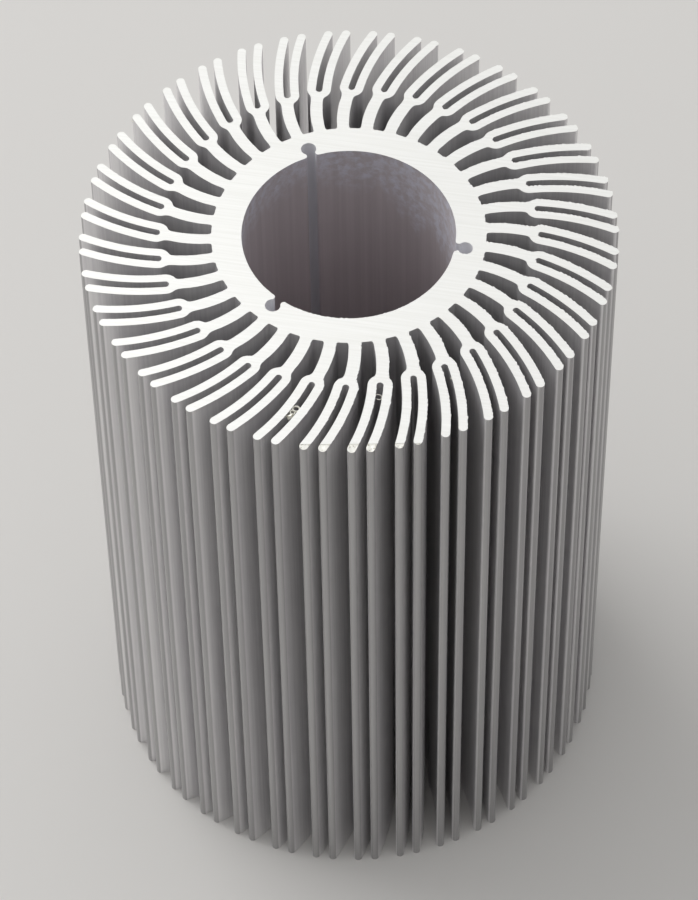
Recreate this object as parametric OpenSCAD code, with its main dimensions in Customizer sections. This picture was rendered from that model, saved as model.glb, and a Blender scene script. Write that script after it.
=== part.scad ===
// Radial heat sink, one aluminium extrusion sawn to length.
//
// A plain tube carries forked fins all round.  Each fin leaves the tube as
// one stem, bends over clockwise and splits into two round-ended tines.
// Keyhole screw ports run the whole length and open into the bore.
// Z is the direction of extrusion, Z = 0 is the lower sawn end, and +X
// passes through the middle of the first screw port.

/* [Cut piece] */
// Length between the two sawn ends
length = 143; // [10:1:300]
// Diameter over the tips of the fins
tip_d = 100.5; // [90:0.5:116]

/* [Tube] */
// Diameter of the bore
bore_d = 40; // [30:0.5:44]
// Thickness of metal between a screw port and the floor of the gaps
port_cover = 2.25; // [1.5:0.05:4]

/* [Stems] */
// Number of forked fins round the tube
fin_count = 36; // [6:1:40]
// Angle from the first screw port to the root of the first fin
fin_phase = 2.1; // [0:0.1:10]
// Thickness of a stem
stem_t = 2.3; // [1.6:0.05:2.8]
// Bend radius of a stem's middle line
stem_bend = 22.9; // [18:0.1:60]
// Height above the tube at which a stem points straight away from the axis
stem_rise = 0.7; // [0:0.05:2]
// Fillet between a stem and the floor of the gap
root_fillet = 0.4; // [0.1:0.05:0.8]

/* [Forks] */
// Height above the tube at which a stem splits in two
split_rise = 10.2; // [8:0.1:14]
// Lean of the fork at the split, away from the radial line of its root
fork_lean = 16.7; // [12:0.1:20]
// Thickness of a tine
tine_t = 1.6; // [1.2:0.05:1.9]
// Width of the slot between two tines, at its round bottom
slot_w = 1.3; // [0.8:0.05:1.8]
// Bend radius of the outer tine's middle line, on the long side of the bend
outer_tine_bend = 47.6; // [42:0.1:60]
// Bend radius of the inner tine's middle line, on the short side of the bend
inner_tine_bend = 41.1; // [36:0.1:46]
// Fillet under the fork on the long side of the bend
outer_fillet = 2; // [0.3:0.1:3]
// Fillet under the fork on the short side of the bend
inner_fillet = 0.9; // [0.3:0.1:2]

/* [Screw ports] */
// Number of screw ports round the bore
port_count = 3; // [1:1:6]
// Diameter of a screw port
port_d = 2.9; // [2.4:0.1:3.4]
// Distance from the bore's surface to the middle of a port
port_set_back = 1.9; // [1.6:0.1:2.6]
// Width of the mouth between a port and the bore
port_mouth = 1.8; // [1:0.1:2.2]
// Rounding of the mouth's two lips
port_lip = 0.45; // [0.1:0.05:0.45]

/* [Hidden] */
$fn = 48;

// Round forms stand this far proud of the edges they blend into, and forms
// that join run this far into each other, so that every outline crosses cleanly.
proud = 0.002;
tuck = 0.04;

// Radii of the bore, the screw ports' circle, the tube and the fins' tips
bore_r = bore_d / 2;
port_ring_r = bore_r + port_set_back;
tube_r = port_ring_r + port_d / 2 + port_cover;
tip_r = tip_d / 2;

// Round bottom of a fork: its outer radius, and the middle of its thickness
fork_r = slot_w / 2 + tine_t;
fork_middle_r = (slot_w + tine_t) / 2;

// Unit vector at an angle, the angle of a vector, and a vector made unit long
function heading(a) = [cos(a), sin(a)];
function angle_of(v) = atan2(v[1], v[0]);
function unit(v) = v / norm(v);

// Angle that a short run along an arc turns through
function turn(run, bend) = asin(run / bend);

// Where the circle round p crosses the circle round q, on the left of p to q
function crossing(p, rp, q, rq) =
    let (
        d = norm(q - p),
        along = (d * d + rp * rp - rq * rq) / (2 * d),
        aside = sqrt(rp * rp - along * along),
        u = unit(q - p)
    )
    p + along * u + aside * [-u[1], u[0]];

// A fin is drawn with its root on +X, and clockwise is towards -Y.
axis = [0, 0];
bend_centre = [tube_r + stem_rise, -stem_bend];
long_edge = stem_bend + stem_t / 2;
short_edge = stem_bend - stem_t / 2;
split = crossing(axis, tube_r + split_rise, bend_centre, stem_bend);
short_side = heading(-90 - fork_lean);
outer_tine_centre = split + (outer_tine_bend - fork_middle_r) * short_side;
inner_tine_centre = split + (inner_tine_bend + fork_middle_r) * short_side;

// Curved bar of even thickness, between two angles round its centre
module curved_bar(centre, bend, thickness, from, to) {
    reach = bend + 2 * thickness;
    translate(centre)
        intersection() {
            difference() {
                circle(r = bend + thickness / 2, $fn = 360);
                circle(r = bend - thickness / 2, $fn = 360);
            }
            polygon([axis, reach * heading(from), reach * heading(to)]);
        }
}

// Fills a corner as far as the circle round f that touches its two edges
module fillet(f, r, touch_a, touch_b, inside) {
    a = touch_a + tuck * unit(touch_a - f);
    b = touch_b + tuck * unit(touch_b - f);
    anticlockwise = cross(a - f, inside - f) > 0;
    difference() {
        polygon(anticlockwise ? [f, a, inside, b] : [f, b, inside, a]);
        translate(f) circle(r = r + proud);
    }
}

// Fillet between a disc, whose own edge is given, and one edge of the stem
module stem_fillet(f, r, disc_centre, disc_r, edge, inside) {
    fillet(f, r, disc_centre + disc_r * unit(f - disc_centre),
           bend_centre + edge * unit(f - bend_centre), inside);
}

// Stem, from inside the tube's wall to the middle of the fork's bottom
module stem() {
    wall = tube_r - bore_r;
    end = crossing(bend_centre, stem_bend, split, fork_middle_r);
    curved_bar(bend_centre, stem_bend, stem_t, angle_of(end - bend_centre),
               90 + turn(stem_rise + wall / 4, stem_bend));
    root = [tube_r - root_fillet, 0];
    stem_fillet(crossing(axis, tube_r + root_fillet, bend_centre, long_edge + root_fillet),
                root_fillet, axis, tube_r, long_edge, root);
    stem_fillet(crossing(axis, tube_r + root_fillet, bend_centre, short_edge - root_fillet),
                root_fillet, axis, tube_r, short_edge, root);
    stem_fillet(crossing(bend_centre, long_edge + outer_fillet, split, fork_r + outer_fillet),
                outer_fillet, split, fork_r, long_edge, end);
    stem_fillet(crossing(bend_centre, short_edge - inner_fillet, split, fork_r + inner_fillet),
                inner_fillet, split, fork_r, short_edge, end);
}

// Round bottom of the fork, open in front between the middles of the tines
module fork_bottom() {
    translate(split)
        difference() {
            circle(r = fork_r + proud);
            rotate(-fork_lean)
                translate([0, -fork_middle_r])
                    square([2 * fork_r, 2 * fork_middle_r]);
        }
}

// Tine, from just inside the fork's bottom to its round end on the tip circle
module tine(centre, bend) {
    tip = crossing(axis, tip_r - tine_t / 2, centre, bend);
    curved_bar(centre, bend, tine_t, angle_of(tip - centre), 90 - fork_lean + turn(tuck, bend));
    translate(tip) circle(r = tine_t / 2 + proud);
}

module fin() {
    difference() {
        union() {
            stem();
            fork_bottom();
            tine(outer_tine_centre, outer_tine_bend);
            tine(inner_tine_centre, inner_tine_bend);
        }
        translate(split) circle(r = slot_w / 2 + proud);
    }
}

// Screw port along the tube, with its mouth into the bore
module port() {
    half_mouth = port_mouth / 2;
    lip_y = half_mouth + port_lip;
    lip_x = sqrt(pow(bore_r + port_lip, 2) - lip_y * lip_y);
    translate([port_ring_r, 0]) circle(d = port_d);
    translate([bore_r - port_set_back, -half_mouth])
        square([2 * port_set_back, port_mouth]);
    for (side = [-1, 1]) {
        lip = [lip_x, side * lip_y];
        fillet(lip, port_lip, bore_r * unit(lip), [lip_x, side * half_mouth],
               [bore_r - port_lip, 0]);
    }
}

// Section of the extrusion
module section() {
    difference() {
        union() {
            circle(r = tube_r, $fn = 360);
            for (k = [0 : fin_count - 1])
                rotate(fin_phase + k * 360 / fin_count) fin();
        }
        circle(r = bore_r, $fn = 360);
        for (k = [0 : port_count - 1])
            rotate(k * 360 / port_count) port();
    }
}

module heat_sink() {
    color([0.80, 0.81, 0.82])
        linear_extrude(height = length) section();
}

heat_sink();
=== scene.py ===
# A radial heat sink, sawn from one aluminium extrusion, on a pale studio floor.
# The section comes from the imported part; this script gives it the ragged saw-cut
# ends, the chips left by the saw, and the finish of each kind of surface.
import math

import bpy
import numpy as np
from mathutils import Matrix, Vector, geometry


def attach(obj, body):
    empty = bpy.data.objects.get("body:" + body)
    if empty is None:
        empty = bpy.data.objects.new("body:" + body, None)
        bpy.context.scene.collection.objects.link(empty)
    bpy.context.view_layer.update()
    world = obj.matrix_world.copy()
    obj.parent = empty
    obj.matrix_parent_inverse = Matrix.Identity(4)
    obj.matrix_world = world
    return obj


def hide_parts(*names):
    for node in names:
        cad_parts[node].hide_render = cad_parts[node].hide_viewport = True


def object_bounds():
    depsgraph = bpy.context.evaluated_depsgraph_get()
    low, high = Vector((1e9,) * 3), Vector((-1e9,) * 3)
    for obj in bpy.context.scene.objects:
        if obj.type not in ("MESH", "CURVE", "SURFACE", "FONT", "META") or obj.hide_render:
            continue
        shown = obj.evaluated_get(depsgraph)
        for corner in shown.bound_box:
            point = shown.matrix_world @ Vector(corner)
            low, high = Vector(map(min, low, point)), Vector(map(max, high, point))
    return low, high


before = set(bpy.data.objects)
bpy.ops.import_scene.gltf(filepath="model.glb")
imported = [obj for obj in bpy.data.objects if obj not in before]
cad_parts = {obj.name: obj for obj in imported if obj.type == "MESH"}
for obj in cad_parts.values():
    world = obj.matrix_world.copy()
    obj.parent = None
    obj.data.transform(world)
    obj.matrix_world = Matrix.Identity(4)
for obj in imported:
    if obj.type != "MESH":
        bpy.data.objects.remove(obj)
cad_low, cad_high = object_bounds()
MM = 0.001

# --- The extrusion ---------------------------------------------------------------
# One bar of aluminium pushed through a die, then sawn across at both ends.  The
# flanks and the bore keep the die's fine lines; the saw leaves two flat bright ends
# with a burr along the edges where its teeth came out.
top_z = cad_high.z
foot_z = cad_low.z
tip_r = cad_high.x
length = top_z - foot_z
outline_step = 0.25 * MM


def heading(degrees):
    """Unit vector in the plane of the section, anticlockwise from +X."""
    return np.array([math.cos(math.radians(degrees)), math.sin(math.radians(degrees))])


def end_outlines(mesh, z):
    """The closed outlines of the flat end at height z, longest first."""
    points, edges = {}, {}
    for face in mesh.polygons:
        corners = [mesh.vertices[i].co for i in face.vertices]
        if all(abs(c.z - z) < 1e-6 for c in corners):
            keys = [(round(c.x * 1e7), round(c.y * 1e7)) for c in corners]
            for key, corner in zip(keys, corners):
                points[key] = (corner.x, corner.y)
            for a, b in zip(keys, keys[1:] + keys[:1]):
                edges[a, b] = edges.get((a, b), 0) + 1
                edges[b, a] = edges.get((b, a), 0) - 1
    following = {a: b for (a, b), count in edges.items() if count > 0}
    loops = []
    while following:
        key, after = following.popitem()
        loop = [key]
        while after != key:
            loop.append(after)
            after = following.pop(after)
        loops.append(np.array([points[k] for k in loop]))
    return sorted(loops, key=len, reverse=True)


def spaced(loop, step):
    """The loop with its long stretches filled in along the arcs that they stand for."""
    chord = np.roll(loop, -1, axis=0) - loop
    size = np.linalg.norm(chord, axis=1, keepdims=True)
    ahead = chord / size
    behind, size_behind = np.roll(ahead, 1, axis=0), np.roll(size, 1, axis=0)
    tangent = ahead * size_behind + behind * size
    tangent /= np.linalg.norm(tangent, axis=1, keepdims=True)
    corner = (ahead * behind).sum(axis=1) < math.cos(math.radians(20))
    filled = []
    for i in range(len(loop)):
        j = (i + 1) % len(loop)
        start = ahead[i] if corner[i] else tangent[i]
        end = ahead[i] if corner[j] else tangent[j]
        pieces = max(1, math.ceil(size[i, 0] / step))
        for t in np.arange(pieces) / pieces:
            filled.append(
                (2 * t**3 - 3 * t**2 + 1) * loop[i]
                + (3 * t**2 - 2 * t**3) * loop[j]
                + size[i] * ((t**3 - 2 * t**2 + t) * start + (t**3 - t**2) * end)
            )
    return np.array(filled)


def outward(loop):
    """Unit normals of a loop that point away from the metal, and the run along it."""
    along = np.roll(loop, -1, axis=0) - np.roll(loop, 1, axis=0)
    normal = np.stack([along[:, 1], -along[:, 0]], axis=1)
    normal /= np.linalg.norm(normal, axis=1, keepdims=True)
    steps = np.linalg.norm(loop - np.roll(loop, 1, axis=0), axis=1)
    return normal, np.cumsum(steps)


def crossed(loop, direction, distances):
    """The loop with a point added wherever it crosses a line at a distance along a direction."""
    reach = loop @ direction
    parts = []
    for i in range(len(loop)):
        j = (i + 1) % len(loop)
        parts.append(loop[i])
        cuts = [(d - reach[i]) / (reach[j] - reach[i])
                for d in distances if (reach[i] - d) * (reach[j] - d) < 0]
        parts += [loop[i] + t * (loop[j] - loop[i]) for t in sorted(cuts)]
    return np.array(parts)


# Where the cut ended, at the front, the last sliver tore off: a fine groove along the
# blade, then a rough facet that slopes down to the tips.
break_side = heading(280.0)
break_lines = (48.45 * MM, 48.53 * MM, 48.61 * MM, tip_r)
break_drops = (0.0, 0.12 * MM, 0.05 * MM, 0.28 * MM)
break_grain = 0.3 * MM
break_jitter = 0.012 * MM
pit_share = 0.06
pit_depth = 0.12 * MM

outlines = [
    crossed(spaced(loop, outline_step), break_side, break_lines[:3])
    for loop in end_outlines(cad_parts["heat_sink"].data, top_z)
]

# The blade dragged a burr over the edges that its teeth left last, which face the
# back right, and it is heaviest on the right.
burr_facing = heading(55.0)
burr_side = heading(-15.0)
burr_reach = 0.26 * MM
burr_tooth = (0.45 * MM, 1.15 * MM)
burr_least = 0.18
lip_depths = (0.0, 0.07 * MM, 0.22 * MM)
lip_shares = (1.0, 0.5, 0.0)

# Two small knocks in the upper edges: where, how wide and how deep.
nicks = [
    ((40.66 * MM, 14.27 * MM), 0.45 * MM, 0.2 * MM),
    ((9.0 * MM, 48.1 * MM), 0.5 * MM, 0.22 * MM),
]


def ragged(run, seed):
    """Height of the burr along a run, from 0 to 1: uneven teeth that lean one way."""
    draw = np.random.default_rng(seed)
    starts = [0.0]
    while starts[-1] < run[-1]:
        starts.append(starts[-1] + draw.uniform(*burr_tooth))
    starts = np.array(starts)
    heights = draw.uniform(0.15, 1.0, len(starts)) ** 1.3
    tooth = np.clip(np.searchsorted(starts, run, side="right") - 1, 0, len(starts) - 2)
    share = (run - starts[tooth]) / (starts[tooth + 1] - starts[tooth])
    rise = np.minimum(share / 0.8, (1 - share) / 0.2)
    return heights[tooth] * np.clip(rise, 0, 1)


def burr(loop, seed, strength):
    """How far the burr stands out from each point of a loop."""
    normal, run = outward(loop)
    facing = np.clip(normal @ burr_facing + 0.15, 0, 1) ** 0.8
    side = np.clip(loop @ burr_side / (30 * MM) + 0.55, burr_least, 1.0)
    return strength * burr_reach * facing * side * ragged(run, seed)


def sawn_rings(loop, z, down, seed, strength, broken):
    """Rings of points from the cut face over the burr to the flank, at one end.

    The broken end has the knocks and the torn facet, where no burr is left."""
    normal, _ = outward(loop)
    reach = burr(loop, seed, strength)
    fall = np.zeros(len(loop))
    if broken:
        for spot, width, bite in nicks:
            gap = np.linalg.norm(loop - np.array(spot), axis=1)
            reach -= bite * np.clip(1 - gap / width, 0, 1)
        away = loop @ break_side
        fall = np.interp(away, break_lines, break_drops)
        reach *= np.clip((break_lines[0] - away) / burr_reach, 0, 1)
    rings = []
    for depth, share in zip(lip_depths, lip_shares):
        flat = np.clip(loop + normal * (reach * share)[:, None], cad_low.x, cad_high.x)
        drop = depth + fall
        rings.append(np.column_stack([flat, np.broadcast_to(z + down * drop, len(loop))]))
    return rings


def in_loop(spots, loop):
    """Which of the spots lie inside a closed loop."""
    inside = np.zeros(len(spots), bool)
    x, y = spots.T
    for (x0, y0), (x1, y1) in zip(loop, np.roll(loop, -1, axis=0)):
        crosses = (y0 > y) != (y1 > y)
        if y1 != y0:
            inside ^= crosses & (x < (x1 - x0) * (y - y0) / (y1 - y0) + x0)
    return inside


def torn_grain(outer):
    """Points inside the torn facet, where its rough surface rises and falls."""
    draw = np.random.default_rng(5)
    along = np.array([-break_side[1], break_side[0]])
    half = math.sqrt(tip_r**2 - break_lines[2]**2)
    spots = []
    for d in np.arange(break_lines[2] + break_grain / 2, tip_r, break_grain):
        for s in np.arange(-half, half, break_grain):
            shift = draw.uniform(-0.35, 0.35, 2) * break_grain
            spots.append((d + shift[0]) * break_side + (s + shift[1]) * along)
    spots = np.array(spots)
    gap = np.linalg.norm(spots[:, None] - outer[None, :], axis=2).min(axis=1)
    spots = spots[(gap > 0.45 * break_grain) & in_loop(spots, outer)]
    drop = np.interp(spots @ break_side, break_lines, break_drops)
    drop += draw.uniform(-1, 1, len(spots)) * break_jitter
    drop += (draw.uniform(0, 1, len(spots)) < pit_share) * pit_depth
    return np.column_stack([spots, top_z - np.maximum(drop, 0)])


def break_chords():
    """Pairs of outline points that the break's lines join across the metal."""
    loop = outlines[0]
    reach = loop @ break_side
    across = loop @ np.array([-break_side[1], break_side[0]])
    pairs = []
    for distance in break_lines[:3]:
        on = np.flatnonzero(np.abs(reach - distance) < 1e-9)
        on = on[np.argsort(across[on])]
        pairs += list(zip(on[0::2].tolist(), on[1::2].tolist()))
    return pairs


def cut_face(rings, inner, chords):
    """Triangles over the metal of an end, between its two outlines and through its inner points."""
    spots = np.concatenate([*rings, inner])[:, :2]
    edges, first = list(chords), 0
    for ring in rings:
        here = np.arange(len(ring)) + first
        edges += list(zip(here.tolist(), np.roll(here, -1).tolist()))
        first += len(ring)
    made = geometry.delaunay_2d_cdt([Vector(p / MM) for p in spots], edges, [], 1, 1e-9)
    triangles = np.array([[made[3][i][0] for i in t] for t in made[2]])
    middle = spots[triangles].mean(axis=1)
    metal = in_loop(middle, rings[0][:, :2]) & ~in_loop(middle, rings[1][:, :2])
    return triangles[metal]


FLANK, BORE, SAWN, TORN = 0, 1, 2, 3
stacks = []
for n, loop in enumerate(outlines):
    upper = sawn_rings(loop, top_z, -1, 11 + n, 1.0, True)
    lower = sawn_rings(loop, foot_z, 1, 57 + n, 0.7, False)
    stacks.append(upper + lower[::-1])
points, faces, finish = [], [], []
top_index, foot_index = [], []
count = 0
for n, stack in enumerate(stacks):
    size = len(stack[0])
    here = np.arange(size)
    after = np.roll(here, -1)
    top_index.append(count + here)
    foot_index.append(count + (len(stack) - 1) * size + here)
    for level, ring in enumerate(stack):
        points.append(ring)
        if level + 1 < len(stack):
            a, b = count + level * size, count + (level + 1) * size
            faces += np.stack([a + here, b + here, b + after, a + after], axis=1).tolist()
            finish += [BORE if n else FLANK] * size
    count += len(stack) * size
grain = torn_grain(outlines[0][outlines[0] @ break_side > break_lines[0] - 2 * MM])
points.append(grain)
top_index = np.concatenate([*top_index, count + np.arange(len(grain))])
foot_index = np.concatenate(foot_index)
points = np.concatenate(points)
top_face = top_index[cut_face([s[0] for s in stacks], grain, break_chords())]
foot_face = foot_index[cut_face([s[-1] for s in stacks], grain[:0], [])]
torn = points[top_face].mean(axis=1)[:, :2] @ break_side > break_lines[0]
faces += top_face.tolist() + foot_face[:, ::-1].tolist()
finish += np.where(torn, TORN, SAWN).tolist() + [SAWN] * len(foot_face)

mesh = bpy.data.meshes.new("extrusion")
mesh.from_pydata(points.tolist(), [], faces)
mesh.polygons.foreach_set("material_index", finish)
mesh.shade_smooth()
mesh.set_sharp_from_angle(angle=math.radians(35))
extrusion = bpy.data.objects.new("extruded_bar", mesh)
bpy.context.scene.collection.objects.link(extrusion)


def linear(code):
    """sRGB hex to the linear colour that the shaders take."""
    parts = [int(code[i:i + 2], 16) / 255 for i in (1, 3, 5)]
    return (*[p / 12.92 if p <= 0.04045 else ((p + 0.055) / 1.055) ** 2.4 for p in parts], 1.0)


def add(tree, kind, links=(), inputs=(), **settings):
    """Adds one node, with its settings, its input values and its links from other nodes."""
    node = tree.nodes.new(kind)
    for name, value in settings.items():
        setattr(node, name, value)
    for name, value in dict(inputs).items():
        node.inputs[name].default_value = value
    for name, source in dict(links).items():
        tree.links.new(source, node.inputs[name])
    return node


def new_metal(name, metallic, roughness):
    """A material with one metal shader, ready for its pattern nodes."""
    material = bpy.data.materials.new(name)
    material.use_nodes = True
    shader = material.node_tree.nodes["Principled BSDF"]
    shader.inputs["Metallic"].default_value = metallic
    shader.inputs["Roughness"].default_value = roughness
    return material, material.node_tree, shader


def tones(node, *stops):
    """Sets a colour ramp to the given places and sRGB colours."""
    ramp = node.color_ramp
    while len(ramp.elements) < len(stops):
        ramp.elements.new(0.5)
    for element, (place, code) in zip(ramp.elements, stops):
        element.position = place
        element.color = linear(code)


# Mill finish: aluminium as it left the die, under a thin dull oxide.  It reads as a
# satin grey with fine upright die lines.  Handling has rubbed the tips of the fins
# smoother.  Their colour holds painted shade, greyer tip faces, and a painted highlight,
# a thin bright line along their two edges.
die_lines_per_mm = 1.8
die_bands_per_mm = 0.32
mill, tree, shader = new_metal("mill_finish_aluminium", 0.7, 0.45)
place = add(tree, "ShaderNodeTexCoord")
die_map = add(tree, "ShaderNodeMapping", {"Vector": place.outputs["Object"]},
              {"Scale": (1.0, 1.0, 0.012)})
die_lines = add(tree, "ShaderNodeTexNoise", {"Vector": die_map.outputs["Vector"]},
                {"Scale": die_lines_per_mm / MM, "Detail": 4.0, "Roughness": 0.6})
die_bands = add(tree, "ShaderNodeTexNoise", {"Vector": die_map.outputs["Vector"]},
                {"Scale": die_bands_per_mm / MM, "Detail": 2.0})
blend = add(tree, "ShaderNodeMix", {2: die_lines.outputs["Fac"], 3: die_bands.outputs["Fac"]}, {0: 0.4})
tone = add(tree, "ShaderNodeValToRGB", {"Fac": blend.outputs[0]})
tones(tone, (0.36, "#E4E2E4"), (0.64, "#F6F5F5"))
flat = add(tree, "ShaderNodeVectorMath", {0: place.outputs["Object"]}, {1: (1.0, 1.0, 0.0)},
           operation="MULTIPLY")
radius = add(tree, "ShaderNodeVectorMath", {0: flat.outputs["Vector"]}, operation="LENGTH")
outer = add(tree, "ShaderNodeMapRange", {"Value": radius.outputs["Value"]},
            {"From Min": tip_r - 1.0 * MM, "From Max": tip_r})
# Painted highlight and painted shade near the fin tips: the white band gives the thin bright line along
# their edges, and the #BCBCBC stop darkens the tip faces.
tip_highlight_and_shade = add(tree, "ShaderNodeValToRGB", {"Fac": outer.outputs["Result"]})
tones(tip_highlight_and_shade, (0.15, "#F6F6F6"), (0.35, "#FFFFFF"), (0.5, "#FFFFFF"), (0.7, "#BCBCBC"))
tone_with_tip_light = add(tree, "ShaderNodeVectorMath", {0: tone.outputs["Color"], 1: tip_highlight_and_shade.outputs["Color"]},
           operation="MULTIPLY")
tree.links.new(tone_with_tip_light.outputs["Vector"], shader.inputs["Base Color"])
smoother = add(tree, "ShaderNodeMapRange", {"Value": outer.outputs["Result"]},
               {"From Min": 0.3, "From Max": 0.6, "To Min": 0.45, "To Max": 0.3})
tree.links.new(smoother.outputs["Result"], shader.inputs["Roughness"])
relief = add(tree, "ShaderNodeBump", {"Height": die_lines.outputs["Fac"]},
             {"Strength": 0.25, "Distance": 0.05 * MM})
tree.links.new(relief.outputs["Normal"], shader.inputs["Normal"])

# Bore: the same metal, duller, as the die's mandrel left it, in a darker grey that is
# partly that duller surface and partly painted shade.  Below the upper end it has a pale,
# mottled, faintly blue band with a ragged lower edge, deepest on the back right.  The walls
# of the screw ports are painted lighter, as painted light against the shade in their depth.
bore_r = np.linalg.norm(outlines[1], axis=1).min()
band_side = heading(40.0)
mandrel_lines_per_mm = 0.9
band_runs_per_mm = 0.26
band_specks_per_mm = 0.62
dull_and_shaded, tree, shader = new_metal("mandrel_drawn_aluminium", 0.7, 0.75)
place = add(tree, "ShaderNodeTexCoord")
die_map = add(tree, "ShaderNodeMapping", {"Vector": place.outputs["Object"]},
              {"Scale": (1.0, 1.0, 0.01)})
die_lines = add(tree, "ShaderNodeTexNoise", {"Vector": die_map.outputs["Vector"]},
                {"Scale": mandrel_lines_per_mm / MM, "Detail": 3.0, "Roughness": 0.6})
# The base grey is darker than the flanks: partly the duller drawn surface, partly painted shade for the
# inside of the bore.
tone = add(tree, "ShaderNodeValToRGB", {"Fac": die_lines.outputs["Fac"]})
tones(tone, (0.3, "#D0C9CB"), (0.7, "#DBD4D6"))
run_map = add(tree, "ShaderNodeMapping", {"Vector": place.outputs["Object"]},
              {"Scale": (1.0, 1.0, 0.25)})
runs = add(tree, "ShaderNodeTexNoise", {"Vector": run_map.outputs["Vector"]},
           {"Scale": band_runs_per_mm / MM, "Detail": 4.0, "Roughness": 0.6})
speckle = add(tree, "ShaderNodeTexNoise", {"Vector": place.outputs["Object"]},
              {"Scale": band_specks_per_mm / MM, "Detail": 3.0, "Roughness": 0.65})
axes = add(tree, "ShaderNodeSeparateXYZ", {"Vector": place.outputs["Object"]})
depth = add(tree, "ShaderNodeMath", {1: axes.outputs["Z"]}, {0: top_z}, operation="SUBTRACT")
toward = add(tree, "ShaderNodeVectorMath", {0: place.outputs["Object"]}, {1: (*band_side, 0.0)},
             operation="DOT_PRODUCT")
reach = add(tree, "ShaderNodeMapRange", {"Value": toward.outputs["Value"]},
            {"From Min": 0.2 * bore_r, "From Max": bore_r, "To Min": 15 * MM, "To Max": 31 * MM})
above = add(tree, "ShaderNodeMath", {0: runs.outputs["Fac"], 1: reach.outputs["Result"]},
            operation="MULTIPLY")
inside = add(tree, "ShaderNodeMath", {0: above.outputs["Value"], 1: depth.outputs["Value"]},
             operation="SUBTRACT")
pale_band = add(tree, "ShaderNodeMapRange", {"Value": inside.outputs["Value"]},
           {"From Min": -2 * MM, "From Max": 5 * MM})
spots = add(tree, "ShaderNodeMapRange", {"Value": speckle.outputs["Fac"]},
            {"From Min": 0.4, "From Max": 0.62, "To Min": 0.15, "To Max": 0.7})
cover = add(tree, "ShaderNodeMath", {0: pale_band.outputs["Result"], 1: spots.outputs["Result"]},
            operation="MULTIPLY")
banded = add(tree, "ShaderNodeMix", {0: cover.outputs["Value"], 6: tone.outputs["Color"]},
             {7: linear("#EEF0FA")}, data_type="RGBA")
flat = add(tree, "ShaderNodeVectorMath", {0: place.outputs["Object"]}, {1: (1.0, 1.0, 0.0)},
           operation="MULTIPLY")
radius = add(tree, "ShaderNodeVectorMath", {0: flat.outputs["Vector"]}, operation="LENGTH")
# Painted light: the walls of the screw ports get a paler colour, and less metal, against the shade in
# their depth.
in_port = add(tree, "ShaderNodeMapRange", {"Value": radius.outputs["Value"]},
              {"From Min": bore_r + 0.1 * MM, "From Max": bore_r + 0.8 * MM})
port_painted_light = add(tree, "ShaderNodeMix", {0: in_port.outputs["Result"], 6: banded.outputs[2]},
             {7: linear("#EDEDF0")}, data_type="RGBA")
tree.links.new(port_painted_light.outputs[2], shader.inputs["Base Color"])
less_metal = add(tree, "ShaderNodeMapRange", {"Value": in_port.outputs["Result"]},
                 {"To Min": 0.7, "To Max": 0.4})
tree.links.new(less_metal.outputs["Result"], shader.inputs["Metallic"])

# Sawn ends: bright fresh metal with faint straight lines from the blade, drawn about
# 0.4 mm apart so that they show.
saw_lines_per_mm = 2.5
sawn, tree, shader = new_metal("saw_cut_aluminium", 0.7, 0.4)
place = add(tree, "ShaderNodeTexCoord")
turned = add(tree, "ShaderNodeMapping", {"Vector": place.outputs["Object"]},
             {"Rotation": (0.0, 0.0, math.radians(-10.0)), "Scale": (0.02, 1.0, 0.0)}, vector_type="POINT")
saw_lines = add(tree, "ShaderNodeTexNoise", {"Vector": turned.outputs["Vector"]},
                {"Scale": saw_lines_per_mm / MM, "Detail": 2.0})
tone = add(tree, "ShaderNodeValToRGB", {"Fac": saw_lines.outputs["Fac"]})
tones(tone, (0.3, "#F0F0EC"), (0.7, "#F8F8F5"))
tree.links.new(tone.outputs["Color"], shader.inputs["Base Color"])
relief = add(tree, "ShaderNodeBump", {"Height": saw_lines.outputs["Fac"]},
             {"Strength": 0.12, "Distance": 0.02 * MM})
tree.links.new(relief.outputs["Normal"], shader.inputs["Normal"])

# Torn facet: the metal tore instead of being cut, so it is a little rough and faintly
# yellow.  Dark specks in its colour are painted shade for its pits.
pit_shade_specks_per_mm = 2.2
torn_metal, tree, shader = new_metal("torn_aluminium", 0.45, 0.5)
place = add(tree, "ShaderNodeTexCoord")
# Painted shade: the dark specks from this noise stand in for the shade in small pits.
pit_shade_specks = add(tree, "ShaderNodeTexNoise", {"Vector": place.outputs["Object"]},
           {"Scale": pit_shade_specks_per_mm / MM, "Detail": 3.0})
tone = add(tree, "ShaderNodeValToRGB", {"Fac": pit_shade_specks.outputs["Fac"]})
tones(tone, (0.3, "#BDBAAC"), (0.4, "#F6F5EE"))
tree.links.new(tone.outputs["Color"], shader.inputs["Base Color"])

for material in (mill, dull_and_shaded, sawn, torn_metal):
    mesh.materials.append(material)

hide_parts("heat_sink")
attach(extrusion, "root")

# --- Swarf -----------------------------------------------------------------------
# Chips of the same aluminium that the saw's teeth curled off and left: one sprung
# into the slot of a fork at the front, a fine curl and a grain in two others, and
# the last threads of the burr, which hang on as whiskers at one end.  All are fresh
# metal, so they are paler than the flanks.
chip_metal, tree, shader = new_metal("saw_chip_aluminium", 0.5, 0.4)
shader.inputs["Base Color"].default_value = linear("#F0EEE2")


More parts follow.
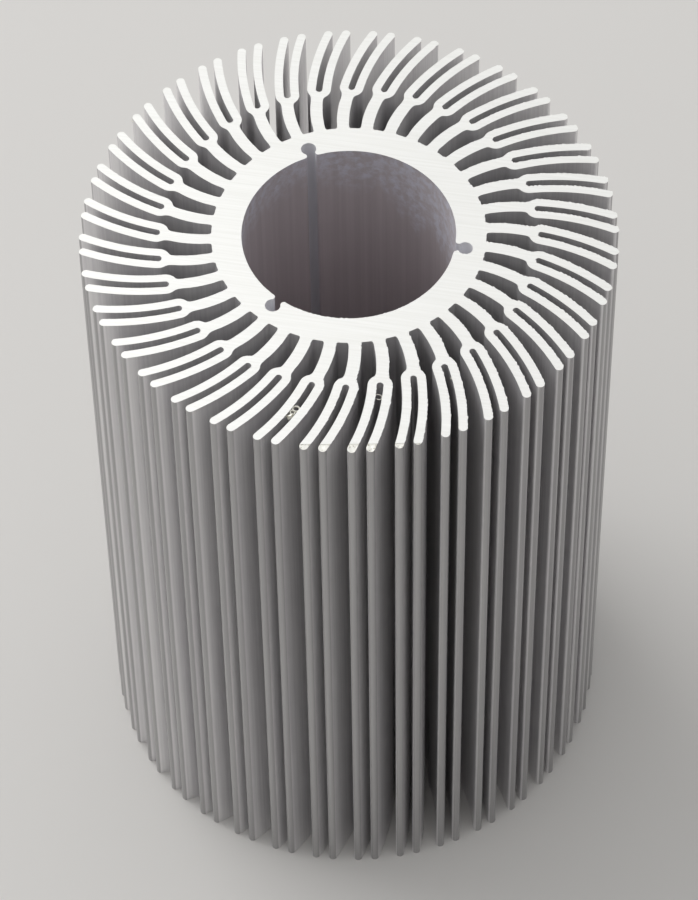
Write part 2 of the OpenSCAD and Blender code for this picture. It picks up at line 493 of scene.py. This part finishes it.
def curled_strip(x, y, below, axis, radius, turns, pitch, width, thickness, start=0.0, growth=0.0):
    """Points and faces of a flat strip wound round an axis, thin at both ends.

    Sizes are in millimetres, and its middle is so far below the upper end."""
    centre = Vector((x, y, top_z / MM - below))
    axis = Vector(axis).normalized()
    side = axis.orthogonal().normalized()
    other = axis.cross(side)
    steps = max(8, round(turns * 20))
    spots, quads = [], []
    for i in range(steps + 1):
        share = i / steps
        angle = math.radians(start) + share * turns * math.tau
        out = side * math.cos(angle) + other * math.sin(angle)
        along = axis * pitch * turns * (share - 0.5)
        middle = centre + out * radius * (1 + growth * share) + along
        wide = axis * width / 2 * min(1, 6 * share + 0.2, 6 * (1 - share) + 0.2)
        thick = out * thickness / 2
        spots += [middle + wide + thick, middle + wide - thick]
        spots += [middle - wide - thick, middle - wide + thick]
        if i:
            a, b = 4 * (i - 1), 4 * i
            quads += [(a + k, a + (k + 1) % 4, b + (k + 1) % 4, b + k) for k in range(4)]
    quads += [(3, 2, 1, 0), tuple(4 * steps + k for k in range(4))]
    return [spot * MM for spot in spots], quads


def swarf(name, strips):
    """One piece made of one or more curled strips."""
    spots, quads = [], []
    for strip in strips:
        more_spots, more_quads = curled_strip(**strip)
        quads += [tuple(i + len(spots) for i in quad) for quad in more_quads]
        spots += more_spots
    shape = bpy.data.meshes.new(name)
    shape.from_pydata(spots, [], quads)
    shape.shade_smooth()
    shape.set_sharp_from_angle(angle=math.radians(40))
    shape.materials.append(chip_metal)
    piece = bpy.data.objects.new(name, shape)
    bpy.context.scene.collection.objects.link(piece)
    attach(piece, "root")


swarf("slot_chip", [
    dict(x=-2.58, y=-41.36, below=0.42, axis=(0.1, 0.1, 1.0), radius=0.62, turns=1.15,
         pitch=0.12, width=0.36, thickness=0.2, start=30.0),
    dict(x=-3.1, y=-42.2, below=0.45, axis=(0.2, -0.1, 1.0), radius=0.42, turns=1.2,
         pitch=0.12, width=0.36, thickness=0.2, start=200.0),
    dict(x=-3.3, y=-43.0, below=0.65, axis=(0.9, 0.5, 0.3), radius=0.42, turns=0.95,
         pitch=0.1, width=1.3, thickness=0.08, start=90.0),
])
swarf("hair_curl", [
    dict(x=11.75, y=-36.5, below=0.25, axis=(0.1, 0.15, 1.0), radius=0.42, turns=0.8,
         pitch=0.1, width=0.12, thickness=0.1, start=180.0, growth=0.9),
])
swarf("slot_grain", [
    dict(x=24.03, y=-29.97, below=0.45, axis=(0.3, 0.3, 1.0), radius=0.13, turns=0.9,
         pitch=0.05, width=0.22, thickness=0.08),
])
swarf("right_whisker", [
    dict(x=31.87, y=-34.57, below=0.25, axis=(0.4, 0.3, 0.9), radius=0.28, turns=0.55,
         pitch=0.1, width=0.07, thickness=0.06, start=120.0),
])
left_tips = [(-45.15, 20.87, 40.0), (-49.17, 8.99, 130.0), (-46.7, 17.44, 80.0), (-43.44, 25.12, 200.0)]
swarf("left_whiskers", [
    dict(x=x, y=y, below=0.3, axis=(0.3, -0.4, 0.9), radius=0.3, turns=0.6,
         pitch=0.1, width=0.12, thickness=0.09, start=start)
    for x, y, start in left_tips
])

# --- Studio ------------------------------------------------------------------------
# A pale floor, a large soft light above and behind on the left, and an even room
# that is brightest overhead.
floor_half = 4.0
floor_corners = [(-1, -1), (1, -1), (1, 1), (-1, 1)]
floor_mesh = bpy.data.meshes.new("floor")
floor_mesh.from_pydata([(x * floor_half, y * floor_half, 0) for x, y in floor_corners], [], [(0, 1, 2, 3)])
floor = bpy.data.objects.new("floor", floor_mesh)
floor.location.z = foot_z - 0.02 * MM
bpy.context.scene.collection.objects.link(floor)
paper = bpy.data.materials.new("pale_paper")
paper.use_nodes = True
paper_shader = paper.node_tree.nodes["Principled BSDF"]
paper_shader.inputs["Base Color"].default_value = linear("#D9D7D4")
paper_shader.inputs["Roughness"].default_value = 0.9
floor_mesh.materials.append(paper)

world = bpy.data.worlds.new("room")
world.use_nodes = True
tree = world.node_tree
place = add(tree, "ShaderNodeTexCoord")
height = add(tree, "ShaderNodeVectorMath", {0: place.outputs["Generated"]}, {1: (-0.45, 0.2, 0.87)},
             operation="DOT_PRODUCT")
ramp = add(tree, "ShaderNodeValToRGB", {"Fac": height.outputs["Value"]})
tones(ramp, (0.0, "#959595"), (0.75, "#E7E7E7"))
tree.links.new(ramp.outputs["Color"], tree.nodes["Background"].inputs["Color"])
bpy.context.scene.world = world


def softbox(name, position, aim, width, power):
    """A square soft light at a position, turned to face its aim."""
    lamp = bpy.data.lights.new(name, "AREA")
    lamp.size = width
    lamp.energy = power
    holder = bpy.data.objects.new(name, lamp)
    holder.location = position
    holder.rotation_euler = (Vector(aim) - Vector(position)).to_track_quat("-Z", "Y").to_euler()
    bpy.context.scene.collection.objects.link(holder)


softbox("key_softbox", (-1.1, 0.6, 1.45), (0, 0, length / 2), 1.2, 14)

# --- Camera ------------------------------------------------------------------------
# It stands a little to the right of the front and looks down over the upper end.
camera_azimuth = 10.446
camera_elevation = 51.126
camera_distance = 0.80995
camera_aim = (-0.00063, -0.00012, 0.0745)
camera_roll = 0.975
camera_data = bpy.data.cameras.new("camera")
camera_data.lens = 173.9
camera_data.sensor_width = 36.0
camera = bpy.data.objects.new("camera", camera_data)
turn = math.radians(camera_azimuth)
climb = math.radians(camera_elevation)
back = Vector((math.sin(turn) * math.cos(climb), -math.cos(turn) * math.cos(climb), math.sin(climb)))
camera.location = Vector((0, 0, top_z)) + camera_distance * back
look = (Vector(camera_aim) - camera.location).to_track_quat("-Z", "Y").to_matrix()
camera.rotation_euler = (look @ Matrix.Rotation(math.radians(-camera_roll), 3, "Z")).to_euler()
bpy.context.scene.collection.objects.link(camera)
bpy.context.scene.camera = camera
bpy.context.scene.view_settings.view_transform = "Standard"
